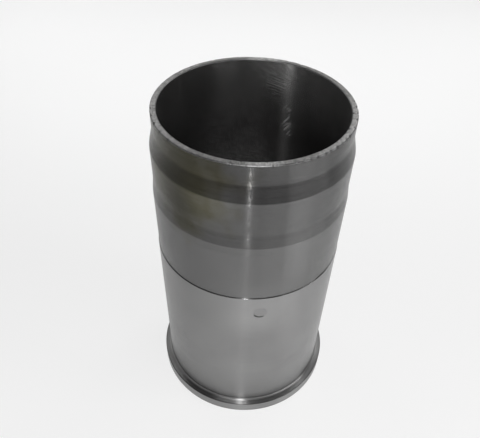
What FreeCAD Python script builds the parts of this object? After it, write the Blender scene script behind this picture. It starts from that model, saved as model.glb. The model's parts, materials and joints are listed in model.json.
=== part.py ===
import FreeCAD
import Part
import os

# A turned cylinder liner for a heavy diesel engine, as it stands on a bench: collar down, so the
# head end is at the bottom and the crankcase end is at the top. In the engine it is the other way up.
# Millimetres. The origin is the centre of the collar's resting face, and +Z runs up the bore's axis.

# Bore and wall
bore_radius = 63.5
barrel_wall = 8.5
overall_length = 268.0

# Collar at the head end, whose shoulder seats in the block
collar_overhang = 5.7
collar_height = 10.9
collar_root_fillet = 2.0
collar_shoulder_chamfer = 0.5
collar_foot_chamfer = 0.5

# Outside of the crankcase end: each land is turned down from the one below it
lower_barrel_drop = 0.4
seal_land_drop = 1.1
skirt_drop = 2.8

# Lengths along the outside, counted down from the crankcase end
skirt_length = 14.2
skirt_taper_length = 11.8
seal_land_length = 26.0
seal_taper_length = 10.4
lower_barrel_length = 49.5

# Narrow groove turned round the barrel where its diameter changes
groove_width = 0.9
groove_depth = 0.4

# Edge breaks of the bore and of the crankcase end
skirt_end_chamfer = 0.6
bore_end_chamfer = 0.5
bore_foot_chamfer = 0.5

# Radii that follow from the walls and drops
barrel_radius = bore_radius + barrel_wall
collar_radius = barrel_radius + collar_overhang
lower_barrel_radius = barrel_radius - lower_barrel_drop
seal_land_radius = lower_barrel_radius - seal_land_drop
skirt_radius = seal_land_radius - skirt_drop
groove_radius = lower_barrel_radius - groove_depth

# Heights that follow from the lengths
skirt_foot = overall_length - skirt_length
seal_land_top = skirt_foot - skirt_taper_length
seal_land_foot = seal_land_top - seal_land_length
lower_barrel_top = seal_land_foot - seal_taper_length
groove_top = lower_barrel_top - lower_barrel_length
groove_foot = groove_top - groove_width


def profile_point(radius, height):
    """A point of the half section, in the XZ plane."""
    return FreeCAD.Vector(radius, 0, height)


def straight_run(points):
    """Straight edges through the points, in order."""
    return [Part.LineSegment(start, end).toShape() for start, end in zip(points, points[1:])]


def root_fillet(radius, height, size):
    """The hollow quarter round from a wall of this radius out on to the shoulder at this height."""
    centre = profile_point(radius + size, height + size)
    middle = centre - FreeCAD.Vector(1, 0, 1) * (size / 2 ** 0.5)
    start = profile_point(radius, height + size)
    end = profile_point(radius + size, height)
    return Part.Arc(start, middle, end).toShape()


def bore_and_skirt_profile():
    """From the collar's foot, in and up the bore, over the rim and down the outside to the fillet."""
    return straight_run([
        profile_point(collar_radius - collar_foot_chamfer, 0),
        profile_point(bore_radius + bore_foot_chamfer, 0),
        profile_point(bore_radius, bore_foot_chamfer),
        profile_point(bore_radius, overall_length - bore_end_chamfer),
        profile_point(bore_radius + bore_end_chamfer, overall_length),
        profile_point(skirt_radius - skirt_end_chamfer, overall_length),
        profile_point(skirt_radius, overall_length - skirt_end_chamfer),
        profile_point(skirt_radius, skirt_foot),
        profile_point(seal_land_radius, seal_land_top),
        profile_point(seal_land_radius, seal_land_foot),
        profile_point(lower_barrel_radius, lower_barrel_top),
        profile_point(lower_barrel_radius, groove_top),
        profile_point(groove_radius, groove_top),
        profile_point(groove_radius, groove_foot),
        profile_point(barrel_radius, groove_foot),
        profile_point(barrel_radius, collar_height + collar_root_fillet),
    ])


def collar_profile():
    """From the end of the fillet, over the shoulder and down to the collar's foot."""
    return straight_run([
        profile_point(barrel_radius + collar_root_fillet, collar_height),
        profile_point(collar_radius - collar_shoulder_chamfer, collar_height),
        profile_point(collar_radius, collar_height - collar_shoulder_chamfer),
        profile_point(collar_radius, collar_foot_chamfer),
        profile_point(collar_radius - collar_foot_chamfer, 0),
    ])


def cylinder_liner():
    """The whole liner, turned from one casting."""
    edges = bore_and_skirt_profile()
    edges.append(root_fillet(barrel_radius, collar_height, collar_root_fillet))
    edges += collar_profile()
    section = Part.Face(Part.Wire(edges))
    return section.revolve(FreeCAD.Vector(0, 0, 0), FreeCAD.Vector(0, 0, 1), 360)


os.makedirs("parts", exist_ok=True)
cylinder_liner().exportStep("parts/cylinder_liner.step")
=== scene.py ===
import json
import math
import random

import bmesh
import bpy
from mathutils import Matrix, Vector


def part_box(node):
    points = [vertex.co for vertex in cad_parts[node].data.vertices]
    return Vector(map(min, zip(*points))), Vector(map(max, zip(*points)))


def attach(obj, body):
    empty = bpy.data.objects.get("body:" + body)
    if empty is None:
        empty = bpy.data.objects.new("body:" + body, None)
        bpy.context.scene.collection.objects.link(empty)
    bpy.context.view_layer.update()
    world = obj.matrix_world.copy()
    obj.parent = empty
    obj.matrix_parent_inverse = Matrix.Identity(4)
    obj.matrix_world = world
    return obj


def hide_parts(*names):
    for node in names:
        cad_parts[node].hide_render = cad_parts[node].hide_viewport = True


# The looks of a turned cylinder liner that stands on its collar. Metres, with +Z up the bore's axis.

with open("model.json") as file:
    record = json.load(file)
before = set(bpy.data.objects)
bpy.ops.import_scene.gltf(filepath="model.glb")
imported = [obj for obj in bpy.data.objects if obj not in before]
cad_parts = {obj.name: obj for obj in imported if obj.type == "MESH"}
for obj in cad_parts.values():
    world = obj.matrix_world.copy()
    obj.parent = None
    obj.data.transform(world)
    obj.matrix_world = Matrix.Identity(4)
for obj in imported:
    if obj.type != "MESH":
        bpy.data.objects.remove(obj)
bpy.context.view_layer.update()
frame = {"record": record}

MM = 0.001


def mount(name):
    """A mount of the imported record."""
    return next(m for m in frame["record"]["mounts"] if m["name"] == name)


# Sizes read from the frame
node_low, node_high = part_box("cylinder_liner")
bore_radius = mount("cylinder_bore")["dims"]["r_mm"] * MM
seal_land_radius = mount("seal_land")["dims"]["r_mm"] * MM
seal_land_length = mount("seal_land")["dims"]["length_mm"] * MM
seal_land_middle = mount("seal_land")["pos_m"][2]
collar_radius = mount("collar")["dims"]["r_mm"] * MM
collar_height = mount("collar_seat")["pos_m"][2]
overall_length = node_high.z - node_low.z

# Steps, lengths and edge breaks of the turned outside, as in the part
collar_overhang = 5.7 * MM
collar_root_fillet = 2.0 * MM
collar_shoulder_chamfer = 0.5 * MM
collar_foot_chamfer = 0.5 * MM
lower_barrel_drop = 0.4 * MM
skirt_drop = 2.8 * MM
skirt_length = 14.2 * MM
seal_taper_length = 10.4 * MM
lower_barrel_length = 49.5 * MM
groove_width = 0.9 * MM
groove_depth = 0.4 * MM
skirt_end_chamfer = 0.6 * MM
bore_end_chamfer = 0.5 * MM
bore_foot_chamfer = 0.5 * MM

# Radii and heights that follow
barrel_radius = collar_radius - collar_overhang
lower_barrel_radius = barrel_radius - lower_barrel_drop
skirt_radius = seal_land_radius - skirt_drop
groove_radius = lower_barrel_radius - groove_depth
skirt_foot = overall_length - skirt_length
seal_land_top = seal_land_middle + seal_land_length / 2
seal_land_foot = seal_land_middle - seal_land_length / 2
lower_barrel_top = seal_land_foot - seal_taper_length
groove_top = lower_barrel_top - lower_barrel_length
groove_foot = groove_top - groove_width

# Roundness of the turned corners
edge_round = 0.12 * MM
band_round = 0.8 * MM
skirt_foot_round = 2.5 * MM
fillet_steps = 10
round_steps = 2

# How much light each zone of the turned metal gives back, and how sharply one gives way to the next. On
# the outside these are partly each band's own finish and partly painted shade: the upper bands are
# darker to stand in for the dimmer surroundings that they reflect
collar_shade = 0.28
shoulder_shade = 0.25
barrel_shade = 0.277
lower_barrel_shade = 0.173
seal_taper_shade = 0.115
seal_land_shade = 0.132
skirt_taper_shade = 0.06
skirt_shade = 0.104
face_shade = 0.50
bore_shade = 0.31
zone_blur = 0.12 * MM

# Turning marks: pitch of the fine rings, how they wander, and how far each swings the tone or slope
turning_pitch = 0.025 * MM
collar_turning_pitch = 0.9 * MM
turning_line_pitch = 1.1 * MM
turned_roughness = 0.21
turning_slope = 4.5
turning_waver = 2
collar_waver = 8
patch_scale = 26.0
patch_swing = 0.3
line_swing = 0.08
collar_swing = 0.8
slope_low_share = 0.6
slope_high_share = 1.35
slope_grows_from = 40 * MM
collar_slope_loss = 0.5
collar_roughness = 0.1
rougher_share = 1.1

# Painted shade in the groove, and painted dark lines round the collar: how wide the lines are, and what
# each takes from the metal
root_line_width = 0.6 * MM
edge_line_width = 0.6 * MM
groove_painted_shade = 0.6
painted_line_darkness = 0.72

# Faced ends and worn edges: scales of their mottle, scores and gaps, and how far they swing the tone
mottle_scale = 900.0
mottle_swing = 1.5
score_round = 90.0
score_out = 260.0
score_swing = 1.7
broad_round = 14.0
broad_out = 60.0
broad_swing = 1.0
pit_darkness = 0.6
face_relief = 0.02 * MM
gap_round = 40.0
gap_up = 400.0
edge_shades = (0.05, 0.18)
edge_relief = 0.03 * MM
nick_shade = 0.07
face_nick_shade = 0.05

# Honing marks and scuffs of the bore
honing_angle = math.radians(24)
honing_spacing = 0.16 * MM
honing_run = 0.06
honing_slope = 1.7
bore_roughness = 0.20
falling_share = 0.08
# Painted shade that darkens the bore further down: what is left at full depth, and where it starts and
# is full
bore_deep_painted_shade = 0.5
bore_deep_from = 14 * MM
bore_deep_full = 60 * MM
rising_share = 0.6
honing_swing = 0.7
bore_patch_scale = 30.0
bore_patch_swing = 0.4
bore_metal = 0.9
# Scuffs: short scratches whose thin cores are painted bright as glints
scuff_spacing = 0.7 * MM
scuff_roughness = 0.12
scuff_cores = (0.53, 0.62)
scuff_painted_glint = 0.8
flat_scuff_strength = 1.2
steep_scuff_angle = math.radians(-52)
steep_scuffs = [
    (math.radians(65), 230 * MM, 8 * MM),
    (math.radians(65.5), 220 * MM, 9 * MM),
    (math.radians(64.5), 211 * MM, 7 * MM),
]
flat_scuff_angle = math.radians(12)
flat_scuffs = [(math.radians(75.5), 250 * MM, 17 * MM)]

# Painted shade and a painted highlight in the bore, where it is darker and where brighter: turn,
# height, reach, share
bore_painted_patches = [
    (math.radians(116), 258 * MM, 46 * MM, -0.45),
    (math.radians(75), 264 * MM, 24 * MM, 0.6),
]

# The same for the outside, as painted highlights and painted shade: brighter across the turned groove
# and beside the oil stain, duller below it
outside_painted_patches = [
    (math.radians(-80), 140 * MM, 38 * MM, 0.24),
    (math.radians(-133), 228 * MM, 22 * MM, -0.35),
    (math.radians(-112), 243 * MM, 27 * MM, 0.5),
]

# The painted highlight up the bore, a bright strip where the lamp's streak lies, and how much brighter
# it is
painted_streak_turn = math.radians(66.6)
painted_streak_reach = 7 * MM
painted_streak_share = 0.8

# Painted highlights on the rim, where it looks smooth and bright: degrees round, reach
painted_rim_highlights = [(84, 17 * MM), (-84, 13 * MM)]
painted_rim_highlight_share = 0.8

# The round rub mark on the barrel, and the painted shade that bites into its lower edge
rub_turn = math.radians(-80.6)
rub_height = 139.5 * MM
rub_radius = 5.6 * MM
rub_bite_shift = Vector((-1.6 * MM, 0, -5.4 * MM))
rub_bite_reach = 5.5 * MM
rub_disc_darkness = 0.12
rub_disc_blur = 0.6 * MM
rub_edge_inner = (1.5 * MM, 0.7 * MM)
rub_edge_outer = 0.5 * MM
rub_bite_painted_shade = 0.85

# The old stain on the left of the skirt
stain_turn = math.radians(-134)
stain_drop = 5 * MM
stain_reach = 54 * MM
stain_core = 0.3
stain_scale = 60.0
stain_darkness = 0.43
stain_metal = (1.0, 0.95, 0.62, 1.0)

# Painted shade over the left side, where its surroundings reflect dimmer: where it starts and is full,
# and what it takes
painted_shade_start = -8 * MM
painted_shade_full = -64 * MM
painted_shade_depth = 0.34

# How finely the liner is turned, and the rings kept near the rim for its worn edges
sectors = 24
sector_steps = 50
seam_gap = 0.001 * MM
flat_enough = 0.9
shading_weight = 60
rim_ring_gaps = (0.45 * MM, 1.1 * MM)

# Nicks knocked in the rim's edges: degrees round from +X, width, depth
outer_nicks = [
    (8.0, 1.2 * MM, 0.45 * MM),
    (1.5, 1.6 * MM, 0.55 * MM),
    (-5.0, 1.3 * MM, 0.60 * MM),
    (-11.6, 2.0 * MM, 0.55 * MM),
    (-20.0, 1.4 * MM, 0.50 * MM),
    (-28.7, 1.8 * MM, 0.70 * MM),
    (-32.6, 1.2 * MM, 0.60 * MM),
    (-37.0, 1.0 * MM, 0.40 * MM),
    (-41.5, 2.2 * MM, 0.60 * MM),
    (-46.6, 1.6 * MM, 0.55 * MM),
    (-49.9, 1.6 * MM, 0.55 * MM),
    (-55.0, 1.8 * MM, 0.70 * MM),
    (-59.4, 1.2 * MM, 0.60 * MM),
    (-63.5, 0.8 * MM, 0.40 * MM),
    (-68.0, 0.7 * MM, 0.35 * MM),
    (-79.7, 0.9 * MM, 0.40 * MM),
    (-92.7, 0.5 * MM, 0.25 * MM),
    (-138.3, 1.2 * MM, 0.40 * MM),
    (-146.7, 1.1 * MM, 0.40 * MM),
    (-155.1, 1.8 * MM, 0.50 * MM),
    (-163.0, 1.2 * MM, 0.45 * MM),
    (-170.7, 2.2 * MM, 0.45 * MM),
    (118.0, 1.2 * MM, 0.35 * MM),
    (61.0, 1.0 * MM, 0.35 * MM),
]
inner_nicks = [
    (-5.5, 1.2 * MM, 0.50 * MM),
    (-22.6, 1.6 * MM, 0.55 * MM),
    (-82.1, 0.6 * MM, 0.35 * MM),
    (-95.4, 0.8 * MM, 0.35 * MM),
    (-151.5, 1.0 * MM, 0.40 * MM),
    (84.0, 0.8 * MM, 0.30 * MM),
]
small_nicks = 120
small_nick_width = (0.3 * MM, 0.9 * MM)
small_nick_depth = (0.05 * MM, 0.20 * MM)
rim_reach = 1.4 * MM
full_wear_depth = 0.3 * MM
nick_steepness = 1.7
nick_power = 4
nick_falloff = 0.7
nick_drop_share = 0.8

# The floor: rings, outwards, at which it turns up, as radius and height; and how white it looks
floor_segments = 96
floor_turn_up = [(4.0, 0.0), (4.4, 0.06), (4.75, 0.24), (4.95, 0.55), (5.0, 0.9), (5.0, 3.0)]
floor_glow = 0.7
floor_shade = 0.9
floor_roughness = 0.9


class Socket:
    """A shader socket that takes part in sums: each expression on it adds its Math node."""

    def __init__(self, finish, socket):
        self.finish = finish
        self.socket = socket

    def math(self, operation, *values):
        """A Math node on these values."""
        return self.finish.node("ShaderNodeMath", {"operation": operation}, values)

    def __add__(self, other):
        return self.math("ADD", self, other)

    def __radd__(self, other):
        return self.math("ADD", other, self)

    def __sub__(self, other):
        return self.math("SUBTRACT", self, other)

    def __rsub__(self, other):
        return self.math("SUBTRACT", other, self)

    def __mul__(self, other):
        return self.math("MULTIPLY", self, other)

    def __rmul__(self, other):
        return self.math("MULTIPLY", other, self)

    def __truediv__(self, other):
        return self.math("DIVIDE", self, other)


class Finish:
    """A material and its nodes."""

    def __init__(self, name):
        self.material = bpy.data.materials.new(name)
        self.material.use_nodes = True
        self.tree = self.material.node_tree
        self.shader = self.tree.nodes["Principled BSDF"]
        self.place = self.node("ShaderNodeTexCoord", output="Object")

    def node(self, kind, settings=None, inputs=(), output=0):
        """Adds a node, applies its settings, then sets or links its inputs. Returns one output."""
        made = self.tree.nodes.new(kind)
        for name, value in (settings or {}).items():
            setattr(made, name, value)
        pairs = inputs.items() if isinstance(inputs, dict) else enumerate(inputs)
        for key, value in pairs:
            self.feed(made.inputs[key], value)
        return Socket(self, made.outputs[output])

    def feed(self, socket, value):
        """Sets a socket to a number or colour, or links it."""
        if isinstance(value, Socket):
            self.tree.links.new(value.socket, socket)
        else:
            socket.default_value = value

    def surface(self, **values):
        """Sets or links the shader's own sockets, named with underscores for spaces."""
        for name, value in values.items():
            self.feed(self.shader.inputs[name.replace("_", " ")], value)

    def second_surface(self, share, **values):
        """Lays a second metal surface over part of the first, with its own sockets."""
        first = self.shader
        self.shader = self.tree.nodes.new("ShaderNodeBsdfPrincipled")
        self.surface(**values)
        layers = [Socket(self, first.outputs[0]), Socket(self, self.shader.outputs[0])]
        mixed = self.node("ShaderNodeMixShader", None, [share, *layers])
        self.tree.links.new(mixed.socket, self.tree.nodes["Material Output"].inputs["Surface"])

    def glow(self, share):
        """Lets the camera and shiny metal see a surface as partly plain white, shadows kept."""
        seen = self.node("ShaderNodeLightPath", output="Is Camera Ray")
        shiny = self.node("ShaderNodeLightPath", output="Is Glossy Ray")
        clear = self.node("ShaderNodeLightPath", output="Is Transmission Ray")
        either = seen.math("MAXIMUM", seen, seen.math("MAXIMUM", shiny, clear))
        white = self.node("ShaderNodeEmission", None, {"Color": grey(1.0), "Strength": 1.0})
        own = Socket(self, self.shader.outputs[0])
        mixed = self.node("ShaderNodeMixShader", None, [either * share, own, white])
        self.tree.links.new(mixed.socket, self.tree.nodes["Material Output"].inputs["Surface"])

    def parts(self):
        """The x, y and z of a point of the piece."""
        return [self.node("ShaderNodeSeparateXYZ", None, [self.place], axis) for axis in range(3)]

    def vector(self, x, y, z):
        """A vector from its three parts."""
        return self.node("ShaderNodeCombineXYZ", None, [x, y, z])

    def distance(self, first, second):
        """How far apart two points are."""
        return self.node("ShaderNodeVectorMath", {"operation": "DISTANCE"}, [first, second], "Value")

    def noise(self, vector, scale=1.0, detail=2.0, roughness=0.5):
        """Noise from 0 to 1 over a vector."""
        return self.node(
            "ShaderNodeTexNoise",
            {"noise_dimensions": "3D"},
            {"Vector": vector, "Scale": scale, "Detail": detail, "Roughness": roughness},
        )

    def ramp(self, value, low, high, start=0.0, end=1.0):
        """The value carried from the span low to high on to the span start to end, smooth and held."""
        return self.node(
            "ShaderNodeMapRange",
            {"interpolation_type": "SMOOTHSTEP", "clamp": True},
            {"Value": value, "From Min": low, "From Max": high, "To Min": start, "To Max": end},
        )

    def blend(self, share, first, second):
        """A colour between two colours."""
        made = self.tree.nodes.new("ShaderNodeMix")
        made.data_type = "RGBA"
        self.feed(made.inputs[0], share)
        self.feed(made.inputs[6], first)
        self.feed(made.inputs[7], second)
        return Socket(self, made.outputs[2])

    def wear(self):
        """How deep a point lies in a nick, from 0 to 1."""
        return self.node("ShaderNodeAttribute", {"attribute_name": "wear"}, output="Fac")

    def out_from_axis(self):
        """How far a point is from the bore's axis."""
        x, y, z = self.parts()
        return self.distance(self.vector(x, y, 0.0), (0.0, 0.0, 0.0))

    def across(self, operation, first, second=None):
        """A vector made from one or two vectors."""
        values = [first] if second is None else [first, second]
        return self.node("ShaderNodeVectorMath", {"operation": operation}, values, "Vector")

    def scaled(self, vector, size):
        """A vector made this many times as long."""
        values = {"Vector": vector, "Scale": size}
        return self.node("ShaderNodeVectorMath", {"operation": "SCALE"}, values, "Vector")

    def grooves(self, climb):
        """The way that tool marks run: round the axis, and up it at this angle."""
        x, y, z = self.parts()
        out = self.out_from_axis()
        return self.vector(y / out * -math.cos(climb), x / out * math.cos(climb), math.sin(climb))

    def grooved(self, climb, tilt):
        """A normal tilted across the tool marks by this slope."""
        normal = self.node("ShaderNodeNewGeometry", output="Normal")
        over = self.across("CROSS_PRODUCT", normal, self.grooves(climb))
        return self.across("NORMALIZE", self.across("ADD", normal, self.scaled(over, tilt)))

    def turned_rings(self, pitch, waver):
        """Noise in rings round the bore's axis, on walls and shoulders alike."""
        x, y, z = self.parts()
        out = self.out_from_axis()
        return self.noise(self.vector(out / pitch + x * waver, y * waver, z / pitch), 1.0, 3.0)

    def step(self, value, at, below, above):
        """One level below a height and another above it."""
        return self.ramp(value, at - zone_blur, at + zone_blur, below, above)

    def bump(self, height, distance):
        """A normal from a height pattern from 0 to 1 that stands this far proud."""
        values = {"Height": height, "Distance": distance, "Strength": 1.0}
        return self.node("ShaderNodeBump", None, values)


def grey(level, warmth=0.0):
    """A near-neutral metal colour."""
    return (level * (1 + warmth), level, level * (1 - warmth), 1.0)


def zone_shade(finish):
    """How much light the turned outside gives back, zone by zone from the collar up: partly each band's
    finish and partly painted shade that darkens the upper bands, with painted shade in the groove and
    painted dark lines round the collar.
    """
    z = finish.parts()[2]
    shade = finish.step(z, collar_height - collar_shoulder_chamfer, collar_shade, shoulder_shade)
    steps = [
        (collar_height + collar_root_fillet, shoulder_shade, barrel_shade),
        (groove_top, barrel_shade, lower_barrel_shade),
        (lower_barrel_top, lower_barrel_shade, seal_taper_shade),
        (seal_land_foot, seal_taper_shade, seal_land_shade),
        (seal_land_top, seal_land_shade, skirt_taper_shade),
        (skirt_foot, skirt_taper_shade, skirt_shade),
    ]
    for height, below, above in steps:
        shade = shade * finish.step(z, height, 1.0, above / below)
    # Painted shade darkens the turned groove.
    in_groove = finish.step(z, groove_foot, 0.0, 1.0) * finish.step(z, groove_top, 1.0, 0.0)
    return shade * (1 - in_groove * groove_painted_shade) * (1 - painted_collar_lines(finish) * painted_line_darkness)


def painted_collar_lines(finish):
    """Two painted dark lines round the collar: painted shade in the corner at the barrel's root, and a
    painted dark reflection on the shoulder's edge.
    """
    z = finish.parts()[2]
    fillet_top = collar_height + collar_root_fillet
    root = finish.step(z, fillet_top - root_line_width, 0.0, 1.0)
    root = root * finish.step(z, fillet_top, 1.0, 0.0)
    corner = finish.step(z, collar_height - collar_shoulder_chamfer, 0.0, 1.0)
    rim = finish.step(finish.out_from_axis(), collar_radius - edge_line_width, 0.0, 1.0)
    return root + corner * rim


def round_mark(finish):
    """A round rub mark low on the barrel: a faint disc, and a dark bite of painted shade along its
    lower edge.
    """
    middle = Vector(on_wall(rub_turn, barrel_radius, rub_height))
    away = finish.distance(finish.place, tuple(middle))
    bite = middle + rub_bite_shift
    bite_away = finish.distance(finish.place, tuple(bite))
    disc = finish.ramp(away, rub_radius, rub_radius - rub_disc_blur)
    edge = finish.ramp(away, *[rub_radius - inner for inner in rub_edge_inner])
    edge = edge * finish.ramp(away, rub_radius + rub_edge_outer, rub_radius)
    bitten = finish.ramp(bite_away, rub_bite_reach, rub_bite_reach * 0.5)
    return disc * rub_disc_darkness, edge * bitten


def on_wall(turn, radius, height):
    """A point of the outside: how far round, how far out and how high."""
    return (math.cos(turn) * radius, math.sin(turn) * radius, height)


def oil_stain(finish):
    """An old olive stain down the left of the skirt and its taper, blotchy at its edges."""
    blotches = finish.noise(finish.place, stain_scale, 3.0)
    away = finish.distance(finish.place, on_wall(stain_turn, skirt_radius, skirt_foot - stain_drop))
    return finish.ramp(away + (blotches - 0.5) * stain_reach, stain_reach, stain_reach * stain_core)


def painted_patch_tone(finish, radius, patches):
    """How much brighter or duller than elsewhere a wall is, from soft round patches of painted
    highlight and painted shade.
    """
    tone = 1.0
    for turn, height, reach, share in patches:
        away = finish.distance(finish.place, on_wall(turn, radius, height))
        tone = finish.ramp(away, reach, reach * 0.2, 0.0, share) + tone
    return tone


def turned_outside():
    """Fine turning marks run round the outside, and each zone is turned to its own shade, which is
    partly painted shade; painted shade and painted highlights lie over it in soft patches, down the
    left side and at the round mark's lower edge.
    """
    finish = Finish("turned_outside")
    rings = finish.turned_rings(turning_pitch, turning_waver)
    lines = finish.turned_rings(turning_line_pitch, turning_waver)
    patches = finish.noise(finish.place, patch_scale, 2.0)
    coarse = finish.turned_rings(collar_turning_pitch, collar_waver)
    x, y, z = finish.parts()
    on_collar = finish.step(z, collar_height + collar_root_fillet, 1.0, 0.0)
    lowest = groove_foot - slope_grows_from
    coarser_up = finish.ramp(z, lowest, skirt_foot, slope_low_share, slope_high_share)
    slope = (rings - 0.5) * turning_slope * coarser_up * (1 - on_collar * collar_slope_loss)
    tone = 1.0 + (patches - 0.5) * patch_swing + (lines - 0.5) * line_swing
    tone = tone + (coarse - 0.5) * on_collar * collar_swing
    disc, bite = round_mark(finish)
    stain = oil_stain(finish)
    # Painted shade darkens the left side of the outside, off the collar.
    left_side_shade = finish.ramp(x, painted_shade_start, painted_shade_full, 0.0, painted_shade_depth) * (1 - on_collar)
    # Soft patches of painted highlight and painted shade.
    tone = tone * painted_patch_tone(finish, barrel_radius, outside_painted_patches)
    tone = tone * (1 - left_side_shade) * (1 - disc)
    tone = tone * (1 - bite * rub_bite_painted_shade) * (1 - stain * stain_darkness)
    metal = finish.blend(stain, grey(1.0, 0.004), stain_metal)
    bare = finish.blend(zone_shade(finish) * tone, grey(0.0), metal)
    rough = finish.ramp(coarse, 0.3, 0.7, turned_roughness, turned_roughness * rougher_share)
    finish.surface(
        Metallic=1.0,
        Base_Color=finish.blend(finish.wear(), bare, grey(nick_shade)),
        Roughness=rough + on_collar * collar_roughness,
        Anisotropic=1.0,
        Anisotropic_Rotation=0.25,
        Normal=finish.grooved(0.0, slope),
    )
    return finish.material


def rim_painted_tone(finish):
    """How much brighter the rim is where its painted highlights lie."""
    tone = 1.0
    for turn, reach in painted_rim_highlights:
        away = finish.distance(finish.place, on_wall(math.radians(turn), skirt_radius, overall_length))
        tone = finish.ramp(away, reach, reach * 0.3, 0.0, painted_rim_highlight_share) + tone
    return tone


def faced_end():
    """The faced ends: matt, mottled and pitted, and scored across by fine marks, with painted
    highlights on the rim.
    """
    finish = Finish("faced_end")
    x, y, z = finish.parts()
    out = finish.out_from_axis()
    scored = finish.vector(x / out * score_round, y / out * score_round, out * score_out)
    spread = finish.vector(x / out * broad_round, y / out * broad_round, out * broad_out)
    mottle = finish.noise(finish.place, mottle_scale, 3.0, 0.65)
    scores = finish.noise(scored, 1.0, 3.0, 0.6)
    broad = finish.noise(spread, 1.0, 2.0)
    pits = finish.ramp(mottle, 0.40, 0.30)
    tone = 1.0 + (mottle - 0.5) * mottle_swing + (scores - 0.5) * score_swing
    tone = tone + (broad - 0.5) * broad_swing
    tone = tone * rim_painted_tone(finish) * (1 - pits * pit_darkness)
    bare = finish.blend(tone * face_shade, grey(0.0), grey(1.0, 0.01))
    finish.surface(
        Metallic=1.0,
        Base_Color=finish.blend(finish.wear(), bare, grey(face_nick_shade)),
        Roughness=finish.ramp(scores, 0.3, 0.7, 0.40, 0.50),
        Anisotropic=0.5,
        Anisotropic_Rotation=0.25,
        Normal=finish.bump(mottle + scores, face_relief),
    )
    return finish.material


def worn_edge():
    """The broken edges of the rim: smoother than the faces, bright where the lamp finds them, and with
    painted highlights at the front and back.
    """
    finish = Finish("worn_edge")
    x, y, z = finish.parts()
    out = finish.out_from_axis()
    broken = finish.vector(x / out * gap_round, y / out * gap_round, z * gap_up)
    gaps = finish.noise(broken, 1.0, 4.0, 0.7)
    shade = finish.ramp(gaps, 0.3, 0.5, *edge_shades) * rim_painted_tone(finish)
    bare = finish.blend(shade, grey(0.0), grey(1.0))
    finish.surface(
        Metallic=1.0,
        Base_Color=finish.blend(finish.wear(), bare, grey(nick_shade)),
        Roughness=finish.ramp(gaps, 0.3, 0.7, 0.46, 0.34),
        Normal=finish.bump(gaps, edge_relief),
    )
    return finish.material


def honing_scratches(finish, climb, spacing):
    """Noise drawn out along scratches that climb the bore at this angle."""
    x, y, z = finish.parts()
    turn = z * (1 / (math.tan(climb) * bore_radius))
    along = turn.math("COSINE", turn)
    across = turn.math("SINE", turn)
    rolled = finish.vector(x * along + y * across, y * along - x * across, z * honing_run)
    return finish.noise(finish.scaled(rolled, 1 / spacing), 1.0, 3.0, 0.6)


def bore_scuffs(finish, climb, patches):
    """Short slanting scratches in these patches of the bore, with painted glints in their thin cores.
    """
    marks = honing_scratches(finish, climb, scuff_spacing)
    marks = finish.ramp(marks, *scuff_cores)
    where = 0.0
    for turn, height, reach in patches:
        away = finish.distance(finish.place, on_wall(turn, bore_radius, height))
        where = where + finish.ramp(away, reach, 0.0)
    return marks * where


def bore_tone(finish):
    """How bright the bore is, from its patches of painted highlight and shade and its painted highlight
    strip.
    """
    tone = painted_patch_tone(finish, bore_radius, bore_painted_patches)
    x, y, z = finish.parts()
    away = finish.distance(finish.vector(x, y, 0.0), on_wall(painted_streak_turn, bore_radius, 0.0))
    return tone * finish.ramp(away, painted_streak_reach, 0.0, 1.0, 1.0 + painted_streak_share)


def honed_bore():
    """The bore's dark wall, honed in two crossing sets of scratches, with painted shade deeper down,
    painted highlights and painted glints.
    """
    finish = Finish("honed_bore")
    rising = honing_scratches(finish, honing_angle, honing_spacing)
    falling = honing_scratches(finish, -honing_angle, honing_spacing)
    patches = finish.noise(finish.place, bore_patch_scale, 2.0)
    honed = rising * rising_share + falling * (1 - rising_share)
    tone = 1.0 + (honed - 0.5) * honing_swing + (patches - 0.5) * bore_patch_swing
    z = finish.parts()[2]
    top, bottom = overall_length - bore_deep_from, overall_length - bore_deep_full
    deep = finish.ramp(z, top, bottom, 1.0, bore_deep_painted_shade)
    shade = finish.blend(tone * deep * bore_tone(finish) * bore_shade, grey(0.0), grey(1.0, 0.01))
    steep = bore_scuffs(finish, steep_scuff_angle, steep_scuffs)
    flat = bore_scuffs(finish, flat_scuff_angle, flat_scuffs) * flat_scuff_strength
    scuffs = steep + flat
    shade = finish.blend(scuffs, shade, grey(scuff_painted_glint))
    rough = scuffs * scuff_roughness + bore_roughness
    marks = {"Metallic": bore_metal, "Base_Color": shade, "Roughness": rough, "Anisotropic": 1.0}
    quarter = honing_angle / math.tau
    finish.surface(
        Anisotropic_Rotation=0.25 - quarter,
        Normal=finish.grooved(honing_angle, (rising - 0.5) * honing_slope),
        **marks,
    )
    finish.second_surface(
        falling_share,
        Anisotropic_Rotation=0.25 + quarter,
        Normal=finish.grooved(-honing_angle, (falling - 0.5) * honing_slope),
        **marks,
    )
    return finish.material


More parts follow.
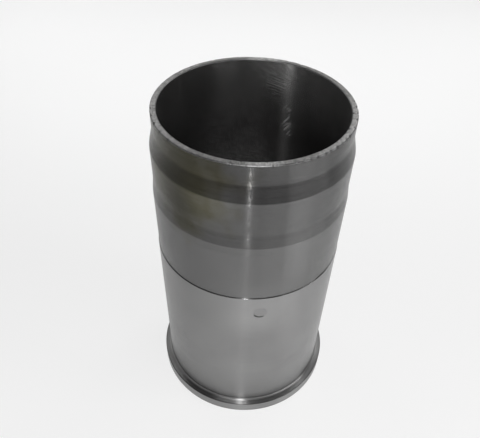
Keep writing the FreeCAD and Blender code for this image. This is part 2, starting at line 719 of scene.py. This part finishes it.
def liner_corners():
    """Radius, height and roundness of each corner, down the outside and back up the bore."""
    rim = overall_length
    return [
        *[(skirt_radius - skirt_end_chamfer - gap, rim, 0) for gap in reversed(rim_ring_gaps)],
        (skirt_radius - skirt_end_chamfer, rim, edge_round),
        (skirt_radius, rim - skirt_end_chamfer, edge_round),
        *[(skirt_radius, rim - skirt_end_chamfer - gap, 0) for gap in rim_ring_gaps],
        (skirt_radius, skirt_foot, skirt_foot_round),
        (seal_land_radius, seal_land_top, band_round),
        (seal_land_radius, seal_land_foot, band_round),
        (lower_barrel_radius, lower_barrel_top, band_round),
        (lower_barrel_radius, groove_top, edge_round),
        (groove_radius, groove_top, edge_round),
        (groove_radius, groove_foot, edge_round),
        (barrel_radius, groove_foot, edge_round),
        (barrel_radius, collar_height, collar_root_fillet),
        (collar_radius - collar_shoulder_chamfer, collar_height, edge_round),
        (collar_radius, collar_height - collar_shoulder_chamfer, edge_round),
        (collar_radius, collar_foot_chamfer, edge_round),
        (collar_radius - collar_foot_chamfer, 0, edge_round),
        (bore_radius + bore_foot_chamfer, 0, edge_round),
        (bore_radius, bore_foot_chamfer, edge_round),
        *[(bore_radius, rim - bore_end_chamfer - gap, 0) for gap in reversed(rim_ring_gaps)],
        (bore_radius, rim - bore_end_chamfer, edge_round),
        (bore_radius + bore_end_chamfer, rim, edge_round),
        *[(bore_radius + bore_end_chamfer + gap, rim, 0) for gap in rim_ring_gaps],
    ]


def half_section():
    """The liner's half section as a closed loop of edges, its corners rounded."""
    mesh = bmesh.new()
    corners = liner_corners()
    points = [mesh.verts.new((radius, 0, height)) for radius, height, size in corners]
    for start, end in zip(points, points[1:] + points[:1]):
        mesh.edges.new((start, end))
    for point, (radius, height, size) in zip(points, corners):
        if size:
            bmesh.ops.bevel(
                mesh,
                geom=[point],
                offset=size,
                offset_type="OFFSET",
                segments=fillet_steps if size == collar_root_fillet else round_steps,
                profile=0.5,
                affect="VERTICES",
                material=-1,
            )
    return mesh


def turned_liner():
    """The liner as one closed mesh: a sector spun from the half section, then spun on as copies."""
    mesh = half_section()
    sector = math.tau / sectors
    axle = {"cent": (0, 0, 0), "axis": (0, 0, 1), "dvec": (0, 0, 0)}
    section = mesh.verts[:] + mesh.edges[:]
    bmesh.ops.spin(mesh, geom=section, angle=sector, steps=sector_steps, **axle)
    first = mesh.verts[:] + mesh.edges[:] + mesh.faces[:]
    rest = math.tau - sector
    bmesh.ops.spin(mesh, geom=first, angle=rest, steps=sectors - 1, use_duplicate=True, **axle)
    bmesh.ops.remove_doubles(mesh, verts=mesh.verts[:], dist=seam_gap)
    bmesh.ops.recalc_face_normals(mesh, faces=mesh.faces[:])
    return mesh


def rim_nicks():
    """Every nick of the rim: on the bore's side or not, how far round, width and depth."""
    knocks = random.Random(7)
    nicks = [(False, math.radians(turn), width, depth) for turn, width, depth in outer_nicks]
    nicks += [(True, math.radians(turn), width, depth) for turn, width, depth in inner_nicks]
    for number in range(small_nicks):
        turn = knocks.uniform(-math.pi, math.pi)
        width = knocks.uniform(*small_nick_width)
        nicks.append((number % 4 == 0, turn, width, knocks.uniform(*small_nick_depth)))
    return nicks


def columns_of_rim(mesh):
    """The rim's vertices, sorted by the spin step they stand on."""
    columns = [[] for column in range(sectors * sector_steps)]
    for vert in mesh.verts:
        if vert.co.z > overall_length - rim_reach * 2:
            step = math.atan2(vert.co.y, vert.co.x) / math.tau * len(columns)
            columns[round(step) % len(columns)].append(vert)
    return columns


def wear_rim(mesh):
    """Knocks nicks in the rim's two edges, and keeps how deep they go for the finishes."""
    wear = mesh.verts.layers.float.new("wear")
    columns = columns_of_rim(mesh)
    outer_edge = Vector((skirt_radius - skirt_end_chamfer / 2, overall_length - skirt_end_chamfer / 2))
    inner_edge = Vector((bore_radius + bore_end_chamfer / 2, overall_length - bore_end_chamfer / 2))
    for on_bore_side, turn, width, depth in rim_nicks():
        edge = inner_edge if on_bore_side else outer_edge
        step = math.tau / len(columns)
        spread = int(width / (step * skirt_radius)) + 2
        first = round(turn / step)
        for column in range(first - spread, first + spread + 1):
            along = (column * step - turn) * skirt_radius / width
            bite = math.exp(-((along * nick_steepness) ** nick_power))
            for vert in columns[column % len(columns)]:
                out = math.hypot(vert.co.x, vert.co.y)
                away = (Vector((out, vert.co.z)) - edge).length / rim_reach
                share = bite * max(0.0, 1 - away) ** nick_falloff
                push = depth * share * (1 if on_bore_side else -1)
                vert.co.x *= 1 + push / out
                vert.co.y *= 1 + push / out
                vert.co.z -= depth * share * nick_drop_share
                vert[wear] = max(vert[wear], share * min(1.0, depth / full_wear_depth))


def finish_faces(mesh):
    """Gives each face its material: 0 outside, 1 faced ends, 2 bore, 3 the rim's edges."""
    for face in mesh.faces:
        middle = face.calc_center_median()
        radius = math.hypot(middle.x, middle.y)
        below_rim = overall_length - middle.z
        outer = radius > skirt_radius - skirt_end_chamfer and below_rim < skirt_end_chamfer
        inner = radius < bore_radius + bore_end_chamfer and below_rim < bore_end_chamfer
        level = abs(face.normal.z) > flat_enough
        flat = level and (below_rim < rim_reach or middle.z < edge_round)
        inside = radius < bore_radius + bore_end_chamfer
        face.material_index = 3 if outer or inner else 1 if flat else 2 if inside else 0
        face.smooth = True


def make_piece(mesh, name, materials):
    """An object at the origin from a bmesh."""
    data = bpy.data.meshes.new(name)
    mesh.to_mesh(data)
    mesh.free()
    for material in materials:
        data.materials.append(material)
    piece = bpy.data.objects.new(name, data)
    bpy.context.scene.collection.objects.link(piece)
    return piece


def make_liner():
    """The worn liner, with its finishes."""
    mesh = turned_liner()
    finish_faces(mesh)
    wear_rim(mesh)
    finishes = [turned_outside(), faced_end(), honed_bore(), worn_edge()]
    piece = make_piece(mesh, "turned_liner", finishes)
    weighting = piece.modifiers.new("even_shading", "WEIGHTED_NORMAL")
    weighting.weight = shading_weight
    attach(piece, "root")
    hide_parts("cylinder_liner")
    return piece


def make_floor():
    """A plain pale floor that turns up into a low wall far away, so that no horizon shows."""
    mesh = bmesh.new()
    bmesh.ops.create_circle(mesh, cap_ends=True, segments=floor_segments, radius=floor_turn_up[0][0])
    edge = mesh.edges[:]
    for radius, height in floor_turn_up[1:]:
        grown = bmesh.ops.extrude_edge_only(mesh, edges=edge)["geom"]
        edge = [part for part in grown if isinstance(part, bmesh.types.BMEdge)]
        for vert in {vert for side in edge for vert in side.verts}:
            vert.co = vert.co.xy.normalized().to_3d() * radius + Vector((0, 0, height))
    bmesh.ops.recalc_face_normals(mesh, faces=mesh.faces[:])
    for face in mesh.faces:
        face.smooth = True
    finish = Finish("pale_floor")
    finish.surface(Base_Color=grey(floor_shade), Roughness=floor_roughness)
    finish.glow(floor_glow)
    floor = make_piece(mesh, "pale_floor", [finish.material])


def softbox(name, place, aim, size, watts):
    """An oval lamp that faces a point."""
    lamp = bpy.data.lights.new(name, "AREA")
    lamp.shape = "ELLIPSE"
    lamp.size = size[0]
    lamp.size_y = size[1]
    lamp.energy = watts
    holder = bpy.data.objects.new(name, lamp)
    holder.location = place
    holder.rotation_mode = "QUATERNION"
    holder.rotation_quaternion = (Vector(aim) - Vector(place)).to_track_quat("-Z", "Y")
    bpy.context.scene.collection.objects.link(holder)
    return holder


def light_the_room(level):
    """An even grey light from all round."""
    world = bpy.data.worlds.new("room")
    world.use_nodes = True
    background = world.node_tree.nodes["Background"]
    background.inputs["Color"].default_value = (level, level, level, 1)
    bpy.context.scene.world = world


# Soft lamps: name, place, the point that each faces, size and watts
softboxes = [
    ("back_left_softbox", (-0.8, 0.8, 1.0), (-0.3, 0.5, 0), (0.6, 0.6), 1.42),
    ("back_right_softbox", (0.8, 0.8, 1.0), (0.3, 0.5, 0), (0.6, 0.6), 2.45),
    ("right_lamp", (0.9, -0.18, 0.75), (0, 0, 0.1), (0.34, 0.34), 1.66),
    ("right_low_softbox", (0.75, -0.6, 0.35), (0, 0, 0.1), (0.5, 0.5), 1.56),
    ("front_right_softbox", (0.45, -0.85, 0.35), (0, 0, 0.1), (0.5, 0.5), 0.40),
    ("front_lamp", (0.0, -0.66, 1.08), (0, 0, 0.15), (0.02, 0.5), 3.0),
]

# Gridded downlights over the floor: height, width and spread, then x, y and watts of each
downlight_height = 0.9
downlight_width = 0.25
downlight_spread = math.radians(70)
downlights = [
    (-0.5, 0.75, 0.42),
    (0.0, 0.75, 0.32),
    (0.5, 0.75, 0.34),
    (-0.25, 0.4, 0.26),
    (0.25, 0.4, 0.23),
    (-0.25, -0.5, 0.42),
    (0.0, -0.5, 0.30),
    (0.3, -0.62, 0.40),
    (0.5, -0.5, 0.30),
]

# How bright the room is all round
room_level = 0.125

# The camera of the photo, from a fit to the liner's rings
image_width = 480
image_height = 438
focal_pixels = 513.83
middle_column = 243.17
middle_row = 264.12
sensor_width = 36.0
camera_distance = 304.7 * MM
camera_height = 440.4 * MM
camera_pitch = 0.8180
camera_yaw = -0.0101
camera_roll = -0.0399


def make_camera():
    """The camera that took the photo."""
    data = bpy.data.cameras.new("photo_camera")
    data.sensor_width = sensor_width
    data.lens = focal_pixels / image_width * sensor_width
    data.shift_x = (image_width / 2 - middle_column) / image_width
    data.shift_y = (middle_row - image_height / 2) / image_width
    camera = bpy.data.objects.new("photo_camera", data)
    turn = Matrix.Rotation(-camera_yaw, 4, "Z")
    tilt = Matrix.Rotation(math.pi / 2 - camera_pitch, 4, "X")
    roll = Matrix.Rotation(-camera_roll, 4, "Z")
    stand = Matrix.Translation((0, -camera_distance, camera_height))
    camera.matrix_world = stand @ turn @ tilt @ roll
    bpy.context.scene.collection.objects.link(camera)
    bpy.context.scene.camera = camera


bpy.context.scene.view_settings.view_transform = "Standard"
make_camera()
make_liner()
make_floor()
light_the_room(room_level)
for softbox_values in softboxes:
    softbox(*softbox_values)
for number, (x, y, watts) in enumerate(downlights):
    place = (x, y, downlight_height)
    size = (downlight_width, downlight_width)
    lamp = softbox(f"downlight_{number}", place, (x, y, 0), size, watts)
    lamp.data.spread = downlight_spread
